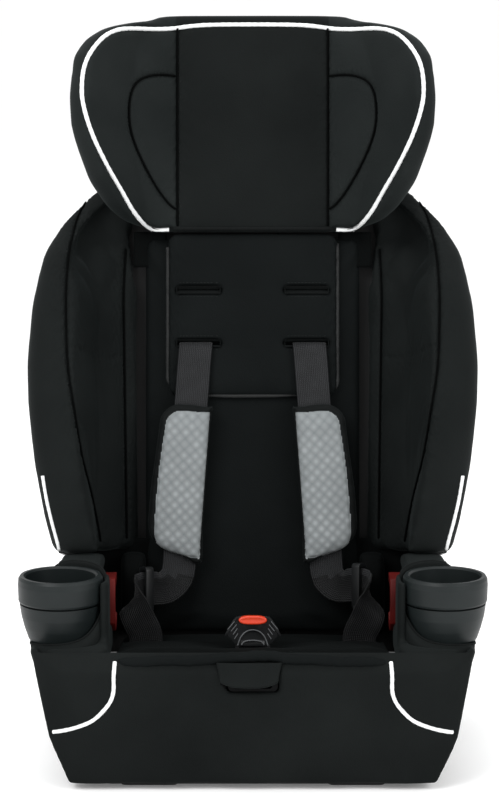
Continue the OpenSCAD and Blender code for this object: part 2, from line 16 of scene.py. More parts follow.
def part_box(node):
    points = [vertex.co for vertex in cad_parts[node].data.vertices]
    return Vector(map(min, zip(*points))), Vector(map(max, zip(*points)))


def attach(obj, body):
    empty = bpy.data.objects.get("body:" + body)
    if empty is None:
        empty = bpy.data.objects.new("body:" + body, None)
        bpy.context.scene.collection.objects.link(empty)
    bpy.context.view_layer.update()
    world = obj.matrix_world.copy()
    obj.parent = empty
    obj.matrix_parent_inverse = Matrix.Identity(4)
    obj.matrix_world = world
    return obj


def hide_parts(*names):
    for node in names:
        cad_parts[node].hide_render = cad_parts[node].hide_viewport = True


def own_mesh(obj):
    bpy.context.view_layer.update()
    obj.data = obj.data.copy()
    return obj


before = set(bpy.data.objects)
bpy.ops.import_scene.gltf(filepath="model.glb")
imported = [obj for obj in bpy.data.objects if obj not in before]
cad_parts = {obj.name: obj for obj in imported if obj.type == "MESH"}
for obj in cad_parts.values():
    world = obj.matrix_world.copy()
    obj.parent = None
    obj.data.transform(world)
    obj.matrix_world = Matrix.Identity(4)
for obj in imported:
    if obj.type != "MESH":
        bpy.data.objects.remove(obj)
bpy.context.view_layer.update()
SIDES = ((-1, "left"), (1, "right"))
LEAN = math.radians(10)  # of the back, and of the seat frame with it
PAD_LEAN = math.radians(4.3)  # of the shoulder pads, outwards as they go down
SLOT_X = 62  # middle of the harness slots
SLOT_UPPER, SLOT_LOWER = 397, 336  # their levels along the back
CUP_X, CUP_Y = 205, -135  # middle of the cups
BUCKLE_FACE = -177  # front of the buckle along d

# ---------- camera and studio ----------


def make_camera():
    data = bpy.data.cameras.new("camera")
    data.lens = 115.2
    data.sensor_width = 36
    data.clip_end = 1000
    camera = bpy.data.objects.new("camera", data)
    camera.location = (-0.003, -2.8, 0.83)
    camera.rotation_euler = (math.radians(90 - 9.05), 0, 0)
    bpy.context.scene.collection.objects.link(camera)
    bpy.context.scene.camera = camera


make_camera()


def area_light(name, place, aim, size, power):
    data = bpy.data.lights.new(name, "AREA")
    data.shape = "RECTANGLE"
    data.size, data.size_y = size
    data.energy = power
    light = bpy.data.objects.new(name, data)
    light.location = place
    light.rotation_euler = (Vector(aim) - Vector(place)).to_track_quat("-Z", "Y").to_euler()
    bpy.context.scene.collection.objects.link(light)


def make_studio():
    world = bpy.data.worlds.new("studio")
    world.use_nodes = True
    background = world.node_tree.nodes["Background"]
    background.inputs["Color"].default_value = (1, 1, 1, 1)
    background.inputs["Strength"].default_value = 0.95
    bpy.context.scene.world = world
    bpy.context.scene.view_settings.view_transform = "Standard"
    area_light("key", (-1.5, -2.2, 2.4), (0, 0, 0.45), (1.6, 1.6), 60)
    area_light("fill", (2.0, -1.9, 1.5), (0, 0, 0.4), (1.6, 1.6), 32)
    area_light("top", (0.0, 0.3, 2.8), (0, 0, 0.4), (1.8, 1.8), 30)
    mesh = bpy.data.meshes.new("floor")
    mesh.from_pydata([(-90, -9, 0), (90, -9, 0), (90, 400, 0), (-90, 400, 0)], [], [(0, 1, 2, 3)])
    floor = bpy.data.objects.new("floor", mesh)
    bpy.context.scene.collection.objects.link(floor)
    material = bpy.data.materials.new("floor_white")
    material.use_nodes = True
    shader = material.node_tree.nodes["Principled BSDF"]
    shader.inputs["Base Color"].default_value = (0.94, 0.94, 0.94, 1)
    shader.inputs["Roughness"].default_value = 0.85
    shader.inputs["Specular IOR Level"].default_value = 0.1
    shader.inputs["Emission Color"].default_value = (1, 1, 1, 1)
    shader.inputs["Emission Strength"].default_value = 0.12
    mesh.materials.append(material)


make_studio()

# ---------- materials ----------


class Material:
    """A principled material and the short calls that wire its procedural detail."""

    def __init__(self, name, roughness, **constants):
        self.material = bpy.data.materials.new(name)
        self.material.use_nodes = True
        self.tree = self.material.node_tree
        self.shader = self.tree.nodes["Principled BSDF"]
        self.shader.inputs["Roughness"].default_value = roughness
        for key, value in constants.items():
            self.shader.inputs[key.replace("_", " ")].default_value = value

    def node(self, kind, **settings):
        made = self.tree.nodes.new(kind)
        for key, value in settings.items():
            if key in made.inputs:
                made.inputs[key].default_value = value
            else:
                setattr(made, key, value)
        return made

    def link(self, source, target):
        self.tree.links.new(source, target)

    def place(self, scale=(1, 1, 1), turn=(0, 0, 0), space="Object"):
        """Texture coordinates in metres, scaled and turned."""
        at = self.node("ShaderNodeTexCoord").outputs[space]
        mapping = self.node("ShaderNodeMapping")
        mapping.inputs["Scale"].default_value = scale
        mapping.inputs["Rotation"].default_value = turn
        self.link(at, mapping.inputs["Vector"])
        return mapping.outputs["Vector"]

    def mix(self, kind, a, b):
        """Math of two values or links."""
        made = self.node("ShaderNodeMath", operation=kind)
        for value, socket in ((a, made.inputs[0]), (b, made.inputs[1])):
            if isinstance(value, (int, float)):
                socket.default_value = value
            else:
                self.link(value, socket)
        return made.outputs[0]

    def noise(self, scale, detail=3.0, coords=None):
        made = self.node("ShaderNodeTexNoise", Scale=scale, Detail=detail)
        self.link(coords or self.place(), made.inputs["Vector"])
        return made.outputs["Fac"]

    def ramp(self, factor, stops):
        """Colours at positions 0 to 1 along factor."""
        made = self.node("ShaderNodeValToRGB")
        elements = made.color_ramp.elements
        while len(elements) < len(stops):
            elements.new(0.5)
        for element, (position, colour) in zip(elements, stops):
            element.position = position
            element.color = (*colour, 1)
        self.link(factor, made.inputs["Fac"])
        return made.outputs["Color"]

    def colour(self, output):
        self.link(output, self.shader.inputs["Base Color"])

    def rough(self, factor, low, high):
        made = self.node("ShaderNodeMapRange")
        made.inputs["To Min"].default_value = low
        made.inputs["To Max"].default_value = high
        self.link(factor, made.inputs["Value"])
        self.link(made.outputs["Result"], self.shader.inputs["Roughness"])

    def bump(self, height, distance, strength=1.0):
        made = self.node("ShaderNodeBump", Strength=strength, Distance=distance)
        self.link(height, made.inputs["Height"])
        self.link(made.outputs["Normal"], self.shader.inputs["Normal"])


def knit(name, dark, light, sheen=0.03, gloss=0.06):
    """Fine knitted cover: small loops, heathered yarn and a soft sheen."""
    made = Material(name, 0.75, Sheen_Weight=sheen, Sheen_Roughness=0.35, Specular_IOR_Level=gloss)
    made.shader.inputs["Sheen Tint"].default_value = (0.6, 0.72, 0.72, 1)
    cells = made.node("ShaderNodeTexVoronoi", Scale=820.0)
    made.link(made.place((1, 1, 0.72)), cells.inputs["Vector"])
    fibre = made.noise(1500.0, 2.0)
    patches = made.noise(9.0, 3.0)
    blend = made.mix("ADD", made.mix("MULTIPLY", patches, 0.65), made.mix("MULTIPLY", fibre, 0.35))
    made.colour(made.ramp(blend, [(0.3, dark), (0.7, light)]))
    made.rough(patches, 0.68, 0.86)
    wrinkle = made.noise(38.0, 2.0)
    loops = made.mix("MULTIPLY", cells.outputs["Distance"], -0.5)
    height = made.mix("ADD", loops, made.mix("MULTIPLY", wrinkle, 1.2))
    made.bump(height, 0.0006, 0.55)
    return made.material


def dotted(name, lean):
    """Grey jacquard with a staggered lattice of soft lighter dots."""
    made = Material(name, 0.72, Sheen_Weight=0.1, Sheen_Roughness=0.4, Specular_IOR_Level=0.25)
    coords = made.place((1, 0.05, 1), (0, lean + math.pi / 4, 0))
    dots = made.node("ShaderNodeTexVoronoi", Scale=112.0, Randomness=0.1)
    made.link(coords, dots.inputs["Vector"])
    yarn = made.node("ShaderNodeTexVoronoi", Scale=900.0)
    made.link(made.place(), yarn.inputs["Vector"])
    patches = made.noise(34.0, 4.0)
    dot = made.mix("MULTIPLY", dots.outputs["Distance"], -1.1)
    blend = made.mix("ADD", made.mix("ADD", dot, 0.75), made.mix("MULTIPLY", patches, 0.5))
    made.colour(made.ramp(blend, [(0.15, (0.14, 0.152, 0.156)), (0.55, (0.19, 0.206, 0.21)),
                                  (0.95, (0.31, 0.33, 0.335))]))
    made.bump(made.mix("ADD", dot, made.mix("MULTIPLY", yarn.outputs["Distance"], -0.5)), 0.0005, 0.6)
    return made.material


def webbing(name, dark, light):
    """Seat belt weave: ribs across the width and a fine diagonal twill, on the strap's own coordinates."""
    made = Material(name, 0.5, Sheen_Weight=0.06, Sheen_Roughness=0.3, Specular_IOR_Level=0.12)
    coords = made.place((1, 1, 1), (0, 0, 0), "UV")
    ribs = made.node("ShaderNodeTexWave", Scale=150.0, Distortion=0.6)
    made.link(coords, ribs.inputs["Vector"])
    twill = made.node("ShaderNodeTexWave", Scale=260.0, bands_direction="DIAGONAL", Distortion=0.4)
    made.link(coords, twill.inputs["Vector"])
    patches = made.noise(55.0, 3.0)
    shade = made.mix("MULTIPLY", ribs.outputs["Fac"], 0.5)
    blend = made.mix("ADD", shade, made.mix("MULTIPLY", patches, 0.5))
    made.colour(made.ramp(blend, [(0.2, dark), (0.8, light)]))
    height = made.mix("ADD", ribs.outputs["Fac"], made.mix("MULTIPLY", twill.outputs["Fac"], 0.6))
    made.bump(height, 0.0005, 0.8)
    made.rough(patches, 0.42, 0.6)
    return made.material


def moulded(name, dark, light, roughness=0.45, grain=420.0, depth=0.00012, shine=0.3):
    """Injection-moulded plastic with a fine leathery grain and slightly uneven gloss."""
    made = Material(name, roughness, Specular_IOR_Level=shine)
    cells = made.node("ShaderNodeTexVoronoi", Scale=grain)
    made.link(made.place(), cells.inputs["Vector"])
    patches = made.noise(14.0, 4.0)
    made.colour(made.ramp(patches, [(0.35, dark), (0.7, light)]))
    made.rough(patches, roughness - 0.07, roughness + 0.1)
    made.bump(made.mix("ADD", cells.outputs["Distance"], made.mix("MULTIPLY", patches, 0.4)), depth, 0.6)
    return made.material


def plated(name, dark, light, roughness=0.3):
    """Zinc-plated or bare steel with fine scratches."""
    made = Material(name, roughness, Metallic=1.0)
    streaks = made.noise(90.0, 5.0, made.place((1, 14, 1)))
    made.colour(made.ramp(streaks, [(0.3, dark), (0.7, light)]))
    made.rough(streaks, roughness - 0.08, roughness + 0.14)
    made.bump(streaks, 0.0001, 0.3)
    return made.material


COVER = knit("cover_black", (0.003, 0.0038, 0.0038), (0.0076, 0.009, 0.0088))
# Lighter copy of the cover for the headrest cheeks: painted highlight where they face the light.
COVER_CHEEK_HIGHLIGHT = knit("cover_cheek_painted_highlight", (0.0058, 0.0074, 0.0074), (0.0138, 0.0162, 0.016), 0.04)
SEAM = knit("seam_shadow", (0.0009, 0.001, 0.001), (0.002, 0.0023, 0.0023), 0.0, 0.02)
# Much darker copy of the cover for the cushion, hips and the cloth between wings and hips: painted shade deep
# in the seat.
COVER_DEEP_SHADE = knit("cover_deep_shade", (0.0011, 0.0014, 0.0014), (0.0028, 0.0034, 0.0034), 0.01, 0.03)
# Darker copy of the cover for the torso, back and front roll: painted shade inside the seat.
COVER_SOFT_SHADE = knit("cover_soft_shade", (0.0022, 0.0029, 0.003), (0.0052, 0.0064, 0.0065), 0.02, 0.05)
COVER_SIDE = knit("cover_side", (0.0036, 0.0046, 0.0046), (0.0088, 0.0104, 0.0102))
BINDING = knit("binding_black", (0.0025, 0.003, 0.003), (0.007, 0.008, 0.008), 0.04)
PIPING_WHITE = knit("piping_white", (0.66, 0.67, 0.67), (0.82, 0.83, 0.83), 0.1)
# Near-black for the skirt under the adjuster's flap: painted shade of the slot beneath it.
SLOT_SHADE = knit("slot_painted_shade", (0.0006, 0.0007, 0.0007), (0.0015, 0.0017, 0.0017), 0.0)
CORD_BLACK = knit("cord_black", (0.004, 0.0045, 0.0045), (0.01, 0.011, 0.011), 0.05, 0.4)
THREAD = knit("thread_dark", (0.009, 0.01, 0.01), (0.018, 0.02, 0.02), 0.05)
GREY = {side: dotted("pad_grey_" + word, side * PAD_LEAN) for side, word in SIDES}
STRAP = webbing("strap_charcoal", (0.008, 0.0084, 0.009), (0.022, 0.023, 0.0245))
# Darker copy of the webbing for the straps low in the seat: painted shade.
STRAP_SHADE = webbing("strap_painted_shade", (0.003, 0.0032, 0.0034), (0.008, 0.0084, 0.009))
SHELL = moulded("shell_black", (0.005, 0.0054, 0.0056), (0.01, 0.0105, 0.0108), shine=0.2)
SLATE = moulded("cup_slate", (0.006, 0.0085, 0.0088), (0.01, 0.0132, 0.0134), 0.42, 520.0, 0.00006, 0.2)
RED = moulded("handle_red", (0.3, 0.012, 0.01), (0.42, 0.018, 0.014), 0.38, 500.0, 0.00006)
# Red belt-guide plastic darkened to maroon: its red colour with painted shade.
GUIDE_SHADE = moulded("guide_red_painted_shade", (0.05, 0.003, 0.0025), (0.1, 0.006, 0.005), 0.5, 500.0, 0.00006, 0.15)
ORANGE = moulded("button_orange", (0.5, 0.026, 0.005), (0.62, 0.045, 0.009), 0.28, 600.0, 0.00003, 0.5)
SATIN = moulded("satin_black", (0.004, 0.0045, 0.0048), (0.008, 0.0088, 0.0092), 0.32, 600.0, 0.00004, 0.2)
PITCH = moulded("pitch_black", (0.0012, 0.0013, 0.0014), (0.0026, 0.0028, 0.003), 0.5, 600.0, 0.00004, 0.06)
# Light grey for the buckle's ribs and arches: painted highlight.
RIDGE_HIGHLIGHT = moulded("ridge_painted_highlight", (0.05, 0.053, 0.056), (0.08, 0.083, 0.087), 0.4, 600.0, 0.00003)
STEEL = plated("steel_plated", (0.42, 0.43, 0.44), (0.62, 0.63, 0.64))
RUBBER = moulded("rubber_feet", (0.012, 0.012, 0.012), (0.022, 0.022, 0.022), 0.75, 300.0, 0.0002)

# ---------- placing, paths and meshes ----------

UP = Vector((0, math.sin(LEAN), math.cos(LEAN)))
BACK = Vector((0, math.cos(LEAN), -math.sin(LEAN)))


def seat(x, d, s):
    """Row-frame metres of a point in the seat frame."""
    return Vector((x, 62, 100)) / 1000 + BACK * (d / 1000) + UP * (s / 1000)


def seat_coords(points):
    """Seat-frame millimetres (x, d, s) of an array of row-frame points in metres."""
    moved = points - np.array((0, 0.062, 0.1))
    return np.stack([moved[:, 0], moved @ np.array(BACK), moved @ np.array(UP)], axis=1) * 1000


def curve_through(points, step=0.002):
    """Evenly spaced points on a smooth curve through the given ones, in metres."""
    pts = [Vector(p) for p in points]
    count = len(pts)
    fine = []
    for i in range(count - 1):
        near = [pts[min(max(i + k, 0), count - 1)] for k in (-1, 0, 1, 2)]
        for t in np.linspace(0, 1, 13)[:-1]:
            fine.append(0.5 * (2 * near[1] + (near[2] - near[0]) * t
                               + (2 * near[0] - 5 * near[1] + 4 * near[2] - near[3]) * t * t
                               + (3 * near[1] - near[0] - 3 * near[2] + near[3]) * t ** 3))
    fine.append(pts[-1])
    line = np.array(fine)
    along = np.concatenate([[0], np.cumsum(np.linalg.norm(np.diff(line, axis=0), axis=1))])
    at = np.linspace(0, along[-1], max(3, int(along[-1] / step) + 1))
    return np.stack([np.interp(at, along, line[:, k]) for k in range(3)], axis=1)


def mesh_object(name, vertices, faces, material, smooth=True):
    mesh = bpy.data.meshes.new(name)
    mesh.from_pydata([tuple(v) for v in vertices], [], faces)
    mesh.update()
    if smooth:
        mesh.shade_smooth()
    obj = bpy.data.objects.new(name, mesh)
    bpy.context.scene.collection.objects.link(obj)
    mesh.materials.append(material)
    return obj


def get_points(obj):
    points = np.empty(len(obj.data.vertices) * 3, np.float32)
    obj.data.vertices.foreach_get("co", points)
    return points.reshape(-1, 3).astype(float)


def set_points(obj, points):
    obj.data.vertices.foreach_set("co", points.astype(np.float32).ravel())
    obj.data.update()


def get_normals(obj):
    normals = np.empty(len(obj.data.vertices) * 3, np.float32)
    obj.data.vertex_normals.foreach_get("vector", normals)
    return normals.reshape(-1, 3).astype(float)


def apply_modifiers(obj):
    graph = bpy.context.evaluated_depsgraph_get()
    mesh = bpy.data.meshes.new_from_object(obj.evaluated_get(graph))
    mesh.name = obj.name
    obj.modifiers.clear()
    obj.data = mesh


def relax(obj, turns, factor=0.5, weights=None):
    """Laplacian smoothing of the mesh's points."""
    edges = np.empty(len(obj.data.edges) * 2, np.int32)
    obj.data.edges.foreach_get("vertices", edges)
    a, b = edges.reshape(-1, 2).T
    points = get_points(obj)
    count = np.maximum(np.bincount(np.concatenate([a, b]), minlength=len(points)), 1)[:, None]
    amount = factor if weights is None else factor * weights[:, None]
    for _ in range(turns):
        total = np.stack([np.bincount(a, points[b, k], len(points))
                          + np.bincount(b, points[a, k], len(points)) for k in range(3)], axis=1)
        points += (total / count - points) * amount
    set_points(obj, points)


def near_paths(points, paths, reach):
    """Distance in metres from each point to the closest path point, up to reach."""
    if not paths:
        return np.full(len(points), reach)
    line = np.concatenate(paths)
    best = np.full(len(points), reach)
    low, high = line.min(axis=0) - reach, line.max(axis=0) + reach
    inside = np.nonzero(np.all((points > low) & (points < high), axis=1))[0]
    for start in range(0, len(inside), 4000):
        part = inside[start:start + 4000]
        gap = np.linalg.norm(points[part, None, :] - line[None, ::2, :], axis=2).min(axis=1)
        best[part] = np.minimum(gap, reach)
    return best


def project(obj, paths, direction=BACK, start=0.45):
    """Smooth curves through (x, s) or world points, laid on the mesh along direction."""
    tree = BVHTree.FromObject(obj, bpy.context.evaluated_depsgraph_get())
    laid = []
    for path in paths:
        given = [seat(p[0], 0, p[1]) if len(p) == 2 else Vector(p) / 1000 for p in path]
        line = []
        for point in curve_through(given):
            hit = tree.ray_cast(Vector(point) - direction * start, direction)[0]
            if hit is not None:
                line.append(hit)
        if len(line) > 2:
            laid.append(np.array(line))
    return laid


def upholster(name, nodes, material, seams=(), size=0.0045, turns=8, cap=0.006, hold=None, refine=1):
    """Remeshes CAD cushions, swells them as cloth pinned along their seams, and refines the result."""
    bm = bmesh.new()
    for node in nodes:
        bm.from_mesh(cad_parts[node].data)
    bmesh.ops.remove_doubles(bm, verts=bm.verts, dist=0.00002)
    mesh = bpy.data.meshes.new(name)
    bm.to_mesh(mesh)
    bm.free()
    obj = bpy.data.objects.new(name, mesh)
    bpy.context.scene.collection.objects.link(obj)
    remesh = obj.modifiers.new("remesh", "REMESH")
    remesh.mode = "VOXEL"
    remesh.voxel_size = size
    apply_modifiers(obj)
    relax(obj, turns)
    if cap:
        swell(obj, project(obj, seams), cap, hold)
    if refine:
        obj.modifiers.new("refine", "SUBSURF").levels = refine
        apply_modifiers(obj)
    obj.data.materials.clear()
    obj.data.materials.append(material)
    obj.data.shade_smooth()
    return obj


def swell(obj, lines, cap, hold, pressure=4.0):
    """Cloth under inner pressure, held at the seams and wherever hold says, never moved beyond cap."""
    rest = get_points(obj)
    gap = near_paths(rest, lines, 0.012)
    weight = np.clip((0.011 - gap) / 0.006, 0, 1)
    if hold is not None:
        weight = np.maximum(weight, hold(seat_coords(rest)))
    pins = obj.vertex_groups.new(name="pins")
    for index in np.nonzero(weight > 0.5)[0]:
        pins.add([int(index)], float(weight[index]), "REPLACE")
    cloth = obj.modifiers.new("cloth", "CLOTH")
    cloth.settings.use_pressure = True
    cloth.settings.uniform_pressure_force = pressure
    cloth.settings.quality = 4
    cloth.settings.mass = 0.2
    cloth.settings.tension_stiffness = 12
    cloth.settings.compression_stiffness = 12
    cloth.settings.bending_stiffness = 0.4
    cloth.settings.vertex_group_mass = "pins"
    cloth.settings.effector_weights.gravity = 0
    cloth.collision_settings.use_collision = False
    cloth.point_cache.frame_start = 1
    cloth.point_cache.frame_end = 20
    for number in range(1, 21):
        bpy.context.scene.frame_set(number)
    apply_modifiers(obj)
    bpy.context.scene.frame_set(1)
    moved = get_points(obj) - rest
    length = np.linalg.norm(moved, axis=1, keepdims=True)
    limit = cap * (1 - 0.9 * weight[:, None])
    set_points(obj, rest + moved * np.minimum(1, limit / np.maximum(length, 1e-9)))
    relax(obj, 2, 0.4)
    obj.vertex_groups.clear()


def groove(obj, lines, depth=0.002, width=0.0025):
    """Presses a sewn line into the mesh."""
    points = get_points(obj)
    gap = near_paths(points, lines, width * 4)
    set_points(obj, points - get_normals(obj) * (depth * np.exp(-(gap / width) ** 2))[:, None])


def wrinkle(obj, lines, height=0.0008, pitch=0.016, reach=0.02):
    """Small puckers that fade away from the sewn lines."""
    points = get_points(obj)
    gap = near_paths(points, lines, reach)
    along = points @ np.array((0.35, 0.3, 1.0)) + 0.3 * np.sin(points[:, 0] * 90)
    wave = np.sin(along * 2 * math.pi / pitch) + 0.6 * np.sin(along * 2 * math.pi / (pitch * 0.61) + 1.3)
    fade = (1 - gap / reach) * np.clip(gap / 0.004, 0, 1)
    set_points(obj, points + get_normals(obj) * (height * wave * fade)[:, None])


def strip_faces(rings, count):
    """Quads between consecutive closed rings of count points."""
    steps = [(k, (k + 1) % count) for k in range(count)]
    return [(i * count + a, i * count + b, (i + 1) * count + b, (i + 1) * count + a)
            for i in range(rings - 1) for a, b in steps]


def frames_along(line):
    """Unit directions along a line at each of its points."""
    ahead = np.roll(line, -1, axis=0) - np.roll(line, 1, axis=0)
    ahead[0], ahead[-1] = line[1] - line[0], line[-1] - line[-2]
    return ahead / np.maximum(np.linalg.norm(ahead, axis=1, keepdims=True), 1e-9)


def even(line, turns=3):
    """Takes small jitter out of a projected line."""
    line = line.copy()
    for _ in range(turns):
        line[1:-1] = 0.25 * line[:-2] + 0.5 * line[1:-1] + 0.25 * line[2:]
    return line


def tube(name, line, radius, material, lift=(0, 0, 0), sides=10, taper=0):
    """Round cord along a line, closed at its ends and thinned over the last taper points."""
    line = even(line) + np.array(lift)
    ahead = frames_along(line)
    side = np.cross(ahead, np.array((0.13, 1.0, 0.21)))
    side /= np.maximum(np.linalg.norm(side, axis=1, keepdims=True), 1e-9)
    over = np.cross(side, ahead)
    count = len(line)
    vertices = []
    for i in range(count):
        thick = radius * (1 + 0.05 * math.sin(i * 1.7) + 0.03 * math.sin(i * 0.53))
        if taper:
            thick *= math.sin(math.pi / 2 * min(1.0, 0.1 + min(i, count - 1 - i) / taper))
        for k in range(sides):
            angle = 2 * math.pi * k / sides
            vertices.append(line[i] + thick * (math.cos(angle) * side[i] + math.sin(angle) * over[i]))
    faces = strip_faces(count, sides)
    faces.append(tuple(reversed(range(sides))))
    faces.append(tuple(range((count - 1) * sides, count * sides)))
    return mesh_object(name, vertices, faces, material)


def stitches(name, obj, lines, material, aside=0.0035, pitch=0.0042, length=0.0028, radius=0.00035):
    """Rows of thread beside sewn lines, lying on the mesh."""
    tree = BVHTree.FromObject(obj, bpy.context.evaluated_depsgraph_get())
    vertices, faces = [], []
    for line in lines:
        line = even(line)
        ahead = frames_along(line)
        along = np.concatenate([[0], np.cumsum(np.linalg.norm(np.diff(line, axis=0), axis=1))])
        for at in np.arange(pitch, along[-1] - pitch, pitch):
            i = min(int(np.searchsorted(along, at)), len(line) - 1)
            direction = Vector(ahead[i])
            found, normal, _, _ = tree.find_nearest(Vector(line[i]))
            across = direction.cross(normal).normalized()
            found, normal, _, _ = tree.find_nearest(found + across * aside)
            across = direction.cross(normal).normalized()
            start = len(vertices)
            for t, r, lift in ((-0.5, 0.3, -0.4), (-0.25, 1, 0.4), (0.25, 1, 0.4), (0.5, 0.3, -0.4)):
                middle = found + direction * (t * length) + normal * (radius * lift)
                for k in range(5):
                    angle = 2 * math.pi * k / 5
                    vertices.append(middle + across * (math.cos(angle) * radius * r)
                                    + normal * (math.sin(angle) * radius * r))
            for j in range(3):
                for k in range(5):
                    a, b = start + j * 5 + k, start + j * 5 + (k + 1) % 5
                    faces.append((a, b, b + 5, a + 5))
    return mesh_object(name, vertices, faces, material)

# ---------- upper covers ----------


def flip(path):
    return [(-p[0], *p[1:]) for p in path]


HEAD_RIM = [(96, 466), (117, 467), (133, 481), (148, 506), (163, 532), (178, 564), (187, 594), (189, 616),
            (186, 640), (175, 663), (159, 681), (137, 690), (98, 695), (60, 700), (0, 701)]
HEAD_LOOP = HEAD_RIM + flip(HEAD_RIM[:-1])[::-1]
HEAD_SEAM = [(86, 470), (86, 530), (86, 600), (86, 660), (86, 696)]
HEAD_CHEEK = [(88, 641), (102, 641), (117, 638), (129, 631), (136, 619), (139, 600), (138, 578), (132, 557),
              (121, 533), (107, 509), (95, 494), (88, 489)]
head_paths = [HEAD_LOOP, HEAD_SEAM, flip(HEAD_SEAM), HEAD_CHEEK, flip(HEAD_CHEEK)]


def add_headrest():
    cover = upholster("headrest_cover", ["headrest_cushion"], COVER, head_paths, turns=6, cap=0.007,
                      hold=lambda c: ((c[:, 1] > 8) | (c[:, 2] < 467)).astype(float))
    loop, *seams = project(cover, head_paths)
    groove(cover, [loop], 0.0035, 0.004)
    groove(cover, seams, 0.0028, 0.0028)
    wrinkle(cover, seams, 0.0005)
    # The cheek faces take the lighter copy of the cover: painted highlight.
    cover.data.materials.append(COVER_CHEEK_HIGHLIGHT)
    coords = seat_coords(get_points(cover))
    for face in cover.data.polygons:
        x, d, _ = coords[list(face.vertices)].mean(axis=0)
        face.material_index = int(abs(x) > 87 and d < 10)
    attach(cover, "headrest")
    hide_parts("headrest_cushion")
    loop = project(cover, [HEAD_LOOP])[0]
    piping = tube("headrest_piping", loop, 0.0024, PIPING_WHITE, -BACK * 0.001)
    edge = project(cover, [[(-92, 467), (0, 467), (92, 467)]])
    hem = tube("headrest_hem", edge[0], 0.0026, BINDING, -BACK * 0.0006)
    thread = stitches("headrest_thread", cover, seams, THREAD)
    for piece in (piping, hem, thread, *seam_lines("headrest_seam", seams)):
        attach(piece, "headrest")


def seam_lines(name, lines, radius=0.0012):
    """Dark sunken cords that stand for the shadow inside a seam."""
    return [tube("%s_%d" % (name, number + 1), line, radius, SEAM, BACK * 0.0004, sides=6)
            for number, line in enumerate(lines)]


WING_RIM = [(190, 505), (201, 481), (207, 442), (209, 400), (208, 355), (205, 306), (198, 262), (190, 212),
            (181, 165), (174, 124), (172, 110)]
WING_INNER = [(147, 446), (148, 400), (147, 330), (146, 260), (145, 190), (144, 112)]
WING_CROSS = [(150, 322), (164, 318), (182, 322), (204, 330)]
WING_HEM = [(233, 185), (229, 160), (223, 134), (216, 108), (215, 103)]


def add_wing(side, word):
    turned = (lambda path: path) if side > 0 else flip
    node = "wing_bolster_" + word
    seams = [turned(WING_RIM), turned(WING_INNER), turned(WING_CROSS)]
    cover = upholster("wing_cover_" + word, [node], COVER_SIDE, seams, cap=0.007,
                      hold=lambda c: (np.abs(c[:, 0]) > 236).astype(float))
    laid = project(cover, seams)
    groove(cover, laid[:2], 0.003, 0.003)
    groove(cover, laid[2:], 0.0014, 0.003)
    wrinkle(cover, laid, 0.0006, 0.02, 0.028)
    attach(cover, "seat")
    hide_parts(node)
    thread = stitches("wing_thread_" + word, cover, laid[:2], THREAD)
    for piece in (thread, *seam_lines("wing_seam_" + word, laid[:2], 0.001)):
        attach(piece, "seat")
    line = project(cover, [turned(WING_HEM)])[0]
    hem = tube("wing_piping_" + word, line, 0.0021, PIPING_WHITE, -BACK * 0.0008)
    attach(hem, "seat")


add_headrest()
for wing_side, wing_word in SIDES:
    add_wing(wing_side, wing_word)

# ---------- back, cushion, skirt and arms ----------

TORSO_EDGE = [(-97, 452), (-97, 400), (-97, 340), (-97, 292), (-95, 281), (-87, 276), (-60, 275), (0, 275),
              (60, 275), (87, 276), (95, 281), (97, 292), (97, 340), (97, 400), (97, 452)]


def slot_sleeve(name, side, s, gap, top=0.0045):
    """Dark elastic lining that closes a harness slot down to gap, given in metres."""
    vertices = []
    rings = ((-15.2, top, 25.5), (-14, top * 0.8, 25), (-9, gap * 0.7, 24.5), (4, gap / 2, 24.5),
             (20, gap / 2, 24.5))
    for d, half, width in rings:
        for k in range(28):
            angle = 2 * math.pi * k / 28
            x = side * SLOT_X + width * max(-1.0, min(1.0, 1.25 * math.cos(angle)))
            lift = half * max(-1.0, min(1.0, 1.6 * math.sin(angle)))
            vertices.append(seat(x, d, s) + UP * lift)
    piece = mesh_object(name, vertices, strip_faces(len(rings), 28), BINDING)
    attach(piece, "seat")


def add_back():
    # The torso and back covers wear the darker copy of the cover: painted shade.
    torso = upholster("torso_cover", ["torso_pad"], COVER_SOFT_SHADE, [TORSO_EDGE], 0.003, 6, 0.004,
                      hold=lambda c: (c[:, 1] > -5).astype(float))
    laid = project(torso, [TORSO_EDGE])
    groove(torso, laid, 0.0012, 0.003)
    wrinkle(torso, laid, 0.0005, 0.022, 0.03)
    back = upholster("back_cover", ["back_pad"], COVER_SOFT_SHADE, size=0.0045, turns=6, cap=0.003,
                     hold=lambda c: (c[:, 1] > 8).astype(float))
    for piece, node in ((torso, "torso_pad"), (back, "back_pad")):
        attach(piece, "seat")
        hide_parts(node)
    edge = project(torso, [TORSO_EDGE])[0]
    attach(tube("torso_piping", edge, 0.0024, CORD_BLACK, -BACK * 0.001), "seat")
    for side, word in SIDES:
        slot_sleeve("slot_upper_" + word, side, SLOT_UPPER, 0.0008)
        slot_sleeve("slot_lower_" + word, side, SLOT_LOWER, 0.0036)
        for row, s in (("upper", SLOT_UPPER), ("lower", SLOT_LOWER)):
            rows = [[(side * SLOT_X + x, s + lift) for x in (-27, 0, 27)] for lift in (-8, 8)]
            lines = project(torso, rows)
            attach(stitches("slot_thread_" + row + "_" + word, torso, lines, THREAD, 0.0), "seat")


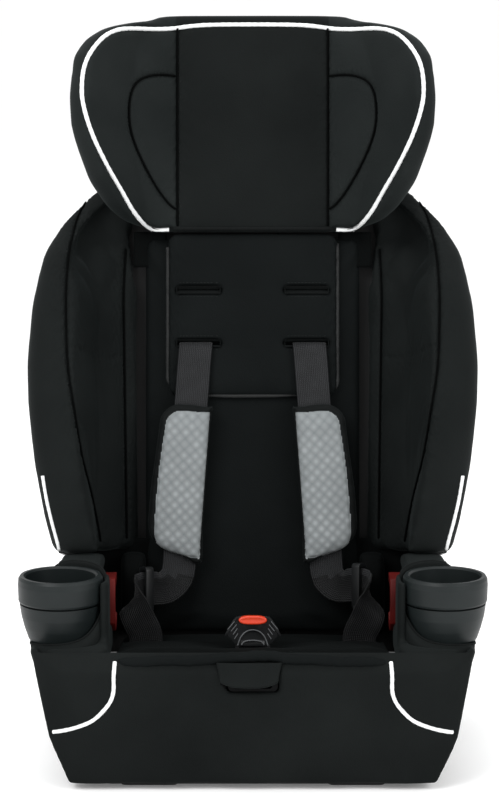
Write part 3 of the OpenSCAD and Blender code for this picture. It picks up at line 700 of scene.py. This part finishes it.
def add_seat():
    # The cushion and hip covers wear the much darker copy: painted shade.
    cushion = upholster("cushion_cover", ["seat_cushion"], COVER_DEEP_SHADE, size=0.0045, turns=8, cap=0.004,
                        hold=lambda c: (c[:, 2] < -8).astype(float))
    points = get_points(cushion)
    coords = seat_coords(points)
    front = np.exp(-((coords[:, 1] + 245) / 30) ** 2)
    ripple = np.sin(coords[:, 0] / 17) + 0.7 * np.sin(coords[:, 0] / 9.5 + 1) + 0.5 * np.sin(coords[:, 1] / 8)
    set_points(cushion, points + get_normals(cushion) * (0.0009 * front * ripple)[:, None])
    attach(cushion, "seat")
    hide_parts("seat_cushion")
    for word in ("left", "right"):
        hip = upholster("hip_cover_" + word, ["hip_bolster_" + word], COVER_DEEP_SHADE, size=0.0035, cap=0.002)
        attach(hip, "seat")
        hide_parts("hip_bolster_" + word)


SKIRT_PIPE = [(144, 140), (145, 125), (145, 112), (148, 101), (155, 91), (168, 79), (188, 71), (209, 66)]


def add_skirt():
    skirt = upholster("skirt_cover", ["seat_skirt"], COVER, size=0.0022, turns=4, cap=0, refine=0)
    bm = bmesh.new()
    bm.from_mesh(skirt.data)
    spike = [v for v in bm.verts if v.co.y > 0.127 and v.co.z > 0.096]
    bmesh.ops.delete(bm, geom=spike, context="VERTS")
    bm.to_mesh(skirt.data)
    bm.free()
    points = get_points(skirt) + get_normals(skirt) * 0.0007
    low = np.clip((0.14 - points[:, 2]) / 0.12, 0, 1)
    sway = np.sin(points[:, 0] * 38 + 0.6) * np.sin(points[:, 2] * 24) + 0.5 * np.sin(points[:, 0] * 77 + 2)
    ripple = 0.0011 * sway * low * np.clip((-0.15 - points[:, 1]) / 0.05, 0, 1)
    set_points(skirt, points + get_normals(skirt) * ripple[:, None])
    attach(skirt, "seat")
    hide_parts("seat_skirt")
    ahead = Vector((0, 1, 0))
    for side, word in SIDES:
        path = [(side * x, 0, z) for x, z in SKIRT_PIPE]
        line = project(skirt, [path], ahead)
        groove(skirt, line, 0.002, 0.003)
        line = project(skirt, [path], ahead)[0]
        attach(tube("skirt_piping_" + word, line, 0.0021, PIPING_WHITE, -ahead * 0.0008), "seat")
        nodes = ["armrest_" + word, "cup_bracket_" + word]
        arm = upholster("arm_cover_" + word, nodes, COVER_SIDE, size=0.0035, turns=6, cap=0)
        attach(arm, "seat")
        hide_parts(*nodes)
    # Faces in an ellipse under the flap take the near-black: painted shade of the slot below the flap.
    skirt.data.materials.append(SLOT_SHADE)
    points = get_points(skirt)
    for face in skirt.data.polygons:
        x, y, z = points[list(face.vertices)].mean(axis=0) * 1000
        if y < -150 and ((x + 4) / 30) ** 2 + ((z - 120) / 11) ** 2 < 1:
            face.material_index = 1


def grid_sheet(name, rows, columns, place, thickness, material):
    """Thin cloth from place(u, v) in metres, u and v from 0 to 1."""
    vertices = [place(i / columns, j / rows) for j in range(rows + 1) for i in range(columns + 1)]
    faces = [(j * (columns + 1) + i, j * (columns + 1) + i + 1, (j + 1) * (columns + 1) + i + 1,
              (j + 1) * (columns + 1) + i) for j in range(rows) for i in range(columns)]
    piece = mesh_object(name, vertices, faces, material)
    solid = piece.modifiers.new("thickness", "SOLIDIFY")
    solid.thickness = thickness
    solid.offset = 0
    apply_modifiers(piece)
    piece.data.shade_smooth()
    return piece


def add_trims():
    """Padded roll along the front crest, the adjuster's flap and the cloth between wings and hips."""
    crest = [(-146, -200, 138), (-132, -206, 140), (-90, -207, 141.5), (-45, -207, 143), (-15, -207, 146),
             (15, -207, 146.5), (45, -207, 144), (90, -207, 141), (132, -206, 139.5), (146, -200, 137.5)]
    line = curve_through([Vector(p) / 1000 for p in crest], 0.003)
    line[:, 2] += 0.0006 * np.sin(line[:, 0] * 120) + 0.0004 * np.sin(line[:, 0] * 310 + 1)
    # The front roll wears the darker copy of the cover: painted shade.
    roll = tube("front_roll", line, 0.0056, COVER_SOFT_SHADE, sides=24, taper=9)
    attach(roll, "seat")

    def flap_place(u, v):
        side = 2 * u - 1
        low = 117 + 6 * abs(side) ** 3
        y = -214.5 - 5.5 * math.sin(v * 1.4) - 5 * v ** 4 + 2.5 * abs(side) ** 4
        return Vector((-4 + (34 - 4 * v) * side, y, 141 + (low - 141) * v)) / 1000

    flap = grid_sheet("flap_cover", 18, 34, flap_place, 0.0018, COVER)
    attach(flap, "flap")
    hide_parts("adjuster_flap")
    for side, word in SIDES:
        def curtain_place(u, v, side=side):
            fold = 1.6 * math.sin(u * 15 + v * 2) + 0.8 * math.sin(v * 11 + u * 5)
            return seat(side * (116 + (66 + 34 * v * v) * u), 5 + fold, 6 + 106 * v)

        # The side and top cloths wear the much darker copy: painted shade of the gap they fill.
        curtain = grid_sheet("side_cloth_" + word, 24, 22, curtain_place, 0.0016, COVER_DEEP_SHADE)
        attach(curtain, "seat")

        def corner_place(u, v, side=side):
            return seat(side * (99 + 38 * u), 7 + 1.2 * math.sin(u * 9 + v * 4), 424 + 41 * v)

        corner = grid_sheet("top_cloth_" + word, 10, 10, corner_place, 0.0016, COVER_DEEP_SHADE)
        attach(corner, "seat")


add_back()
add_seat()
add_skirt()
add_trims()

# ---------- harness ----------


def ribbon(name, stations, material, width=0.038, thickness=0.0022, step=0.004):
    """Webbing through stations of (centre, width direction) in metres, with its own coordinates."""
    centres = [s[0] for s in stations]
    line = curve_through(centres, step)
    knots = np.array([[*s[1]] for s in stations], float)
    marks = [int(np.argmin(np.linalg.norm(line - np.array(c), axis=1))) for c in centres]
    marks[0], marks[-1] = 0, len(line) - 1
    across = np.stack([np.interp(np.arange(len(line)), marks, knots[:, k]) for k in range(3)], axis=1)
    ahead = frames_along(line)
    across -= ahead * np.sum(across * ahead, axis=1, keepdims=True)
    across /= np.linalg.norm(across, axis=1, keepdims=True)
    normal = np.cross(ahead, across)
    front = [(-0.5, -0.18), (-0.47, -0.46), (-0.3, -0.5), (0, -0.44), (0.3, -0.5), (0.47, -0.46),
             (0.5, -0.18)]
    profile = front + [(-u, -v) for u, v in front]
    sides = len(profile)
    vertices = [line[i] + across[i] * (u * width) + normal[i] * (v * thickness)
                for i in range(len(line)) for u, v in profile]
    faces = strip_faces(len(line), sides)
    faces.append(tuple(reversed(range(sides))))
    faces.append(tuple(range((len(line) - 1) * sides, len(line) * sides)))
    piece = mesh_object(name, vertices, faces, material)
    layer = piece.data.uv_layers.new(name="weave")
    for loop in piece.data.loops:
        row, k = divmod(loop.vertex_index, sides)
        layer.data[loop.index].uv = (profile[k][0] * width, row * step)
    return piece


def pad_line(s, d, side):
    return seat(side * (65 + math.tan(PAD_LEAN) * (SLOT_LOWER - s)), d, s)


HANG = {
    -1: [((90, -25, 64), (0.94, -0.2, 0.3)), ((100, -36, 57), (0.6, -0.15, 0.75)),
         ((113, -50, 57), (0, 0, 1)), ((127, -60, 56), (0, 0, 1)), ((133, -70, 46), (-0.5, -0.35, 0.8)),
         ((132, -77, 34), (-0.85, -0.2, 0.5)), ((127, -77, 22), (-0.98, 0, 0.2))],
    1: [((89, -25, 65), (0.94, -0.2, 0.3)), ((99, -36, 59), (0.6, -0.15, 0.75)),
        ((113, -50, 61), (0, 0, 1)), ((127, -60, 60), (0, 0, 1)), ((133, -70, 46), (-0.5, -0.35, 0.8)),
        ((131, -77, 33), (-0.85, -0.2, 0.5)), ((127, -77, 21), (-0.98, 0, 0.2))],
}


def turned_way(x, d, s, side):
    """Width direction of a strap, given in the seat frame for the right side."""
    return Vector((x * side, 0, 0)) + BACK * d + UP * s


def add_straps():
    for side, word in SIDES:
        flat = turned_way(1, 0, 0, side)
        upper = [(37, 50.6, 206), (38, 50.6, 240), (46, 50, 280), (60, 47, 322), (64, 43, 333), (64, 39, 336),
                 (64, 20, 336), (65, -8, 336), (65, -17, 334), (65.4, -20, 328)]
        stations = [(seat(side * x, d, s), flat) for x, d, s in upper]
        stations += [(pad_line(s, -21, side), flat) for s in (318, 290, 240, 180, 120, 76)]
        for place, way in HANG[side]:
            stations.append((seat(side * place[0], *place[1:]), turned_way(*way, side)))
        stations += [(seat(side * 120, -75, s), -flat) for s in (6, -12, -30)]
        strap = ribbon("harness_" + word, stations, STRAP)
        # Strap faces below s = 70 take the darker copy: painted shade low in the seat.
        strap.data.materials.append(STRAP_SHADE)
        for face in strap.data.polygons:
            face.material_index = int(seat_coords(np.array([face.center]))[0, 2] < 70)
        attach(strap, "seat")
        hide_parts("harness_strap_" + word)


PAD_RIM = [(-24, 0), (12, 0), (18, -1), (24, -4), (29, -8), (33, -14), (35, -19), (38, -50), (40, -90),
           (40, -140), (39, -154), (37, -165), (33, -174), (27, -180), (16, -182), (0, -183), (-22, -184)]


def add_pad(side, word):
    """Shoulder pad: grey face, wide black binding round the outer edges and a narrow one inside."""
    cover = upholster("pad_cover_" + word, ["shoulder_pad_" + word], GREY[side], size=0.0028, turns=5,
                      cap=0.002)
    cover.data.materials.append(BINDING)
    points = get_points(cover)
    coords = seat_coords(points)
    across = coords[:, 0] * side - (65 + math.tan(PAD_LEAN) * 70)
    drop = coords[:, 2] - 266
    local = np.stack([across * math.cos(PAD_LEAN) + drop * math.sin(PAD_LEAN),
                      drop * math.cos(PAD_LEAN) - across * math.sin(PAD_LEAN), np.zeros(len(points))], axis=1)
    rim = curve_through([(u / 1000, v / 1000, 0) for u, v in PAD_RIM], 0.001)
    gap = near_paths(local / 1000, [rim], 0.03) * 1000
    inner = local[:, 0] + 27.5
    front = coords[:, 1] < -24
    dip = np.maximum(np.exp(-((gap - 9) / 1.6) ** 2), np.exp(-((inner - 4) / 1.3) ** 2)) * front
    crown = np.clip((gap - 10) / 16, 0, 1) * np.clip((inner - 5) / 12, 0, 1) * front
    normals = get_normals(cover)
    set_points(cover, points + normals * ((0.0022 * crown - 0.0014 * dip)[:, None]))
    dark = (gap < 9) | (inner < 4) | ~front
    for face in cover.data.polygons:
        face.material_index = int(dark[list(face.vertices)].sum() > len(face.vertices) / 2)
    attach(cover, "pad_" + word)
    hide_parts("shoulder_pad_" + word)


def add_low_straps():
    flat = Vector((1, 0, 0))
    rise = [(seat(0, -165, s), flat) for s in (-21, -12, -2, 8)]
    crotch = ribbon("crotch_webbing", rise, STRAP, 0.038, 0.0028)
    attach(crotch, "buckle")
    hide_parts("crotch_strap")
    route = [(139.5, 292), (138, 280), (125, 190), (113, 110), (107, 66), (92, 40), (60, 34), (-120, 64),
             (-166, 102), (-178, 116), (-187, 117), (-209, 117)]
    pull = ribbon("adjuster_webbing", [(Vector((0, y, z)) / 1000, flat) for y, z in route], STRAP, 0.034)
    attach(pull, "seat")
    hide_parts("adjuster_strap")


POCKET_TOP = [(0, 145), (30, 149), (45, 165), (70, 212), (90, 221), (130, 221), (160, 217), (180, 206),
              (195, 182), (210, 164), (225, 155), (245, 151), (270, 149), (300, 148), (330, 145), (360, 145)]
CUP_SIDE = [(131, 12), (134.5, 22), (141.5, 30), (150, 35), (162, 39), (174, 42), (187, 45.5), (225, 45.5)]


def add_pocket(side, word):
    """Fabric pocket round the cup: low and tight outside and in front, tall on the inner side and behind."""
    tops = np.array(POCKET_TOP, float)
    cup = np.array(CUP_SIDE, float)
    rings = [[] for _ in range(8)]
    count = 96
    for k in range(count):
        theta = 360 * k / count
        near = (theta + np.arange(-14, 15, 4)) % 360
        top = float(np.mean(np.interp(near, tops[:, 0], tops[:, 1])))
        hug = float(np.interp(top, cup[:, 0], cup[:, 1])) + 1.0
        under = float(np.interp(top - 7, cup[:, 0], cup[:, 1])) + 1.0
        outer = max(hug + 3.4, 47.6)
        turn = math.radians(theta)
        shape = [(under, top - 7), (hug, top - 2), (hug + 0.5, top + 0.3), (hug + 1.8, top + 1.1),
                 (hug + 3.2, top + 0.2), (outer + 0.6, min(top - 2.4, top)), (outer + 1.4, min(top - 8, 139)),
                 (outer + 1.0, 122)]
        for ring, (radius, z) in zip(rings, shape):
            x = min(CUP_X + radius * math.cos(turn), 237 - 0.32 * max(0, 147 - z))
            ring.append(Vector((side * x, CUP_Y + radius * math.sin(turn), z)) / 1000)
    vertices = [point for ring in rings for point in ring]
    pocket = mesh_object("cup_pocket_" + word, vertices, strip_faces(len(rings), count), COVER_SIDE)
    pocket.modifiers.new("refine", "SUBSURF").levels = 1
    apply_modifiers(pocket)
    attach(pocket, "seat")
    edge = [0.5 * (rings[3][k] + rings[4][k]) for k in range(count)]
    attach(tube("pocket_edge_" + word, np.array([*edge, edge[0]]), 0.0013, BINDING), "seat")


add_straps()
add_low_straps()
for pad_side, pad_word in SIDES:
    add_pad(pad_side, pad_word)
    add_pocket(pad_side, pad_word)

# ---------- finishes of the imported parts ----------

FINISH = {
    "base_shell": SHELL, "bottom_panel": SHELL, "rubber_feet": RUBBER, "base_screws": STEEL,
    "back_shell": SHELL, "wing_shell_left": SHELL, "wing_shell_right": SHELL, "shell_screws": STEEL,
    "frame_tube": STEEL, "tether_bar": STEEL, "headrest_shell": SHELL, "headrest_carriage": SATIN,
    "headrest_screws": STEEL, "headrest_handle": RED, "headrest_latch": STEEL, "tongue_left": SATIN,
    "tongue_right": SATIN, "splitter_plate": STEEL, "adjuster_housing": PITCH, "adjuster_lever": PITCH,
    "adjuster_pin": STEEL, "crotch_anchor": STEEL, "buckle_body": SATIN, "hip_anchors": STEEL,
    "cup_holder_left": SLATE, "cup_holder_right": SLATE, "cup_liner_left": SLATE,
    "cup_liner_right": SLATE, "hip_belt_guide_left": GUIDE_SHADE, "hip_belt_guide_right": GUIDE_SHADE,
}
ROUNDED = {"buckle_body": 0.0007, "tongue_left": 0.0006, "tongue_right": 0.0006,
           "hip_belt_guide_left": 0.0008, "hip_belt_guide_right": 0.0008, "headrest_handle": 0.001,
           "adjuster_housing": 0.0006, "headrest_carriage": 0.0006}
RIBS = [((19.8, 28.5), (27, 20)), ((17.4, 25.2), (23.6, 17.8)), ((16.6, 21), (21.4, 14.2)),
        ((16, 15.6), (20, 9.4))]
ARCHES = [[(-16.4, 2.4), (-12.8, 12), (-7, 17.8), (0, 19.6), (7, 17.8), (12.8, 12), (16.4, 2.4)],
          [(-12.2, 3), (-9.5, 6.8), (0, 8.3), (9.5, 6.8), (12.2, 3)]]


def add_buckle():
    """Moulded ribs and arches on the buckle's face, coloured light grey as painted highlights, and its
    release button with rounded ends.
    """
    lines = [(rib, 0.0006) for rib in RIBS] + [(flip(rib), 0.0006) for rib in RIBS]
    for number, (path, radius) in enumerate(lines + [(arch, 0.0008) for arch in ARCHES]):
        line = curve_through([seat(x, BUCKLE_FACE, s) for x, s in path], 0.001)
        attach(tube("buckle_ridge_%d" % (number + 1), line, radius, RIDGE_HIGHLIGHT, sides=8), "buckle")
    vertices = []
    rings = ((-180.6, -3.2), (-181.2, -1.4), (-180.4, -0.3), (-178.4, 0), (-166, 0), (-163.5, -0.6),
             (-162.6, -2))
    count = 40
    for d, grow in rings:
        for k in range(count):
            angle = 2 * math.pi * k / count
            x = (15.3 + grow) * math.copysign(abs(math.cos(angle)) ** 0.62, math.cos(angle))
            vertices.append(seat(x, d, 30 + (4.7 + grow * 0.8) * math.sin(angle)))
    faces = strip_faces(len(rings), count)
    faces += [tuple(reversed(range(count))), tuple(range((len(rings) - 1) * count, len(rings) * count))]
    button = mesh_object("button_face", vertices, faces, ORANGE)
    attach(button, "button")
    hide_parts("buckle_button")


def add_springs():
    """Steel copies of the coil springs, each carried by its body."""
    springs = (("handle_spring", "headrest", "handle_pull", UP, seat(0, 22.5, 640.8), 0.82),
               ("buckle_spring", "buckle", "button_press", UP, seat(0, -167.6, 13.1), 0.76),
               ("adjuster_spring", "seat", "lever_press", Vector((0, 0, 1)),
                Vector((0, -0.197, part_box("adjuster_spring")[0][2])), 0.4))
    for node, body, joint, axis, anchor, keep in springs:
        coil = bpy.data.objects.new(node + "_coil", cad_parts[node].data.copy())
        bpy.context.scene.collection.objects.link(coil)
        coil.data.materials.clear()
        coil.data.materials.append(STEEL)
        coil.data.shade_smooth()
        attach(coil, body)
        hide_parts(node)
        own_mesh(coil)
        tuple(axis)
        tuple(anchor)


def finish_parts():
    for node, material in FINISH.items():
        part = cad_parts[node]
        part.data.materials.clear()
        part.data.materials.append(material)
        part.data.shade_smooth()
        part.data.set_sharp_from_angle(angle=math.radians(32))
        if node in ROUNDED:
            part.modifiers.new("weld", "WELD").merge_threshold = 0.00001
            bevel = part.modifiers.new("bevel", "BEVEL")
            bevel.width = ROUNDED[node]
            bevel.segments = 2
            bevel.limit_method = "ANGLE"
            bevel.angle_limit = math.radians(40)


add_buckle()
add_springs()
finish_parts()
